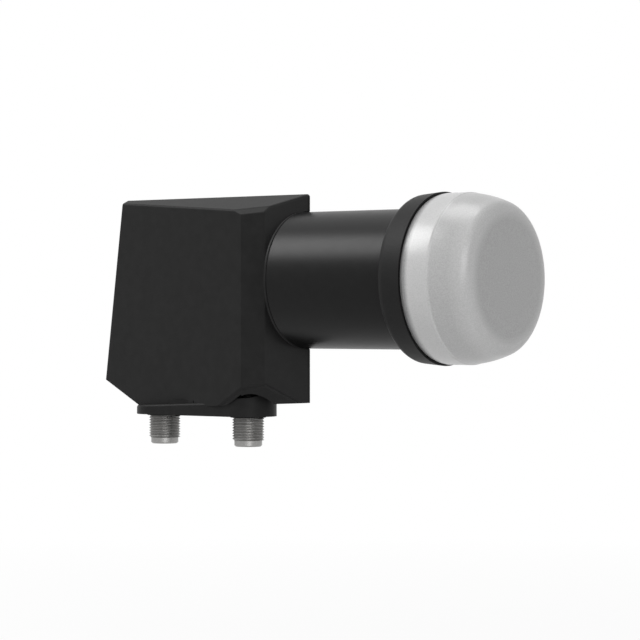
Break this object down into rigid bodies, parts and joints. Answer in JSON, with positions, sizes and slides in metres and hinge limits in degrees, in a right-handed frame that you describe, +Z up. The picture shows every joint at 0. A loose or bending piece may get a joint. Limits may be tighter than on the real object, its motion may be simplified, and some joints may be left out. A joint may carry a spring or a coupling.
{
  "type": "satellite lnb",
  "caption": "Satellite LNB with a slim faceted housing, a round clamp neck, a domed feed cap in front and threaded coaxial outputs underneath.",
  "frame": {"origin": "on the neck axis, midway along the clamp length", "axes": "+X along the neck towards the feed cap, +Z up, the outputs point to -Z"},
  "size_m": [0.147, 0.049, 0.0747],
  "materials": {
    "housing": "satin black moulding",
    "base": "satin black moulding",
    "neck": "smooth satin black",
    "collar": "finely textured black",
    "cap": "fine-grained pale grey",
    "casting": "die-cast",
    "seal": "matt",
    "nickel": "nickel-plated",
    "insulator": "matt white",
    "contact": "gold-flashed",
    "board": "green solder mask",
    "shield": "tinned",
    "chip": "matt black"
  },
  "bodies": {
    "root": {"left_shell": "housing", "right_shell": "housing", "connector_base": "base", "neck_sleeve": "neck", "horn_collar": "collar", "feed_cap": "cap", "horn_casting": "casting", "cap_seal": "seal", "neck_seal": "seal", "front_connector": "nickel", "rear_connector": "nickel", "front_insulator": "insulator", "rear_insulator": "insulator", "front_contact": "contact", "rear_contact": "contact", "circuit_board": "board", "cross_probe": "contact", "input_transistors": "chip", "left_shield": "shield", "right_shield": "shield", "converter_chip": "chip", "oscillator_crystal": "shield", "output_switch": "chip", "voltage_regulator": "chip", "output_inductors": "chip"}
  },
  "joints": []
}
